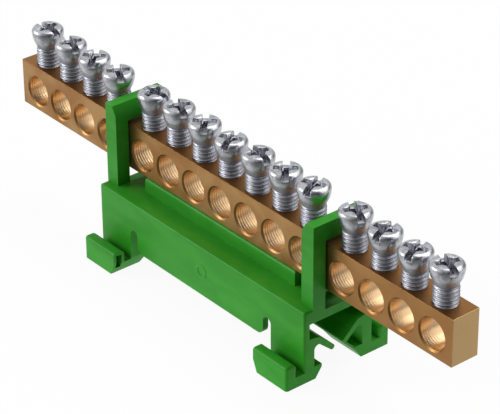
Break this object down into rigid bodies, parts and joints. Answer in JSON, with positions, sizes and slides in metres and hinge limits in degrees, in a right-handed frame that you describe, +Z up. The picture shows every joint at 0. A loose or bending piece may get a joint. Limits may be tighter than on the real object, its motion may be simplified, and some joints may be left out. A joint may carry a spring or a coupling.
{
  "type": "earth terminal bar",
  "caption": "Brass earth terminal bar with a row of clamp screws over cross holes, carried in a green moulded holder with loops and clip-on feet for a narrow flat rail.",
  "frame": {"origin": "on the plane of the feet, under the middle of the holder and of the bar", "axes": "+X along the bar, towards the right end in the picture; +Y from the front wall to the back wall; +Z up, towards the screw heads"},
  "size_m": [0.1296, 0.0256, 0.0369],
  "materials": {
    "moulding": "smooth green moulding with a soft gloss",
    "bar": "drawn brass, satin, brighter inside the drilled holes",
    "screws": "bright zinc-plated steel"
  },
  "bodies": {
    "root": {"holder": "moulding", "terminal_bar": "bar", "clamp_screw_01": "screws", "clamp_screw_02": "screws", "clamp_screw_03": "screws", "clamp_screw_04": "screws", "clamp_screw_05": "screws", "clamp_screw_06": "screws", "clamp_screw_07": "screws", "clamp_screw_08": "screws", "clamp_screw_09": "screws", "clamp_screw_10": "screws", "clamp_screw_11": "screws", "clamp_screw_12": "screws", "clamp_screw_13": "screws", "clamp_screw_14": "screws", "clamp_screw_15": "screws"}
  },
  "joints": []
}
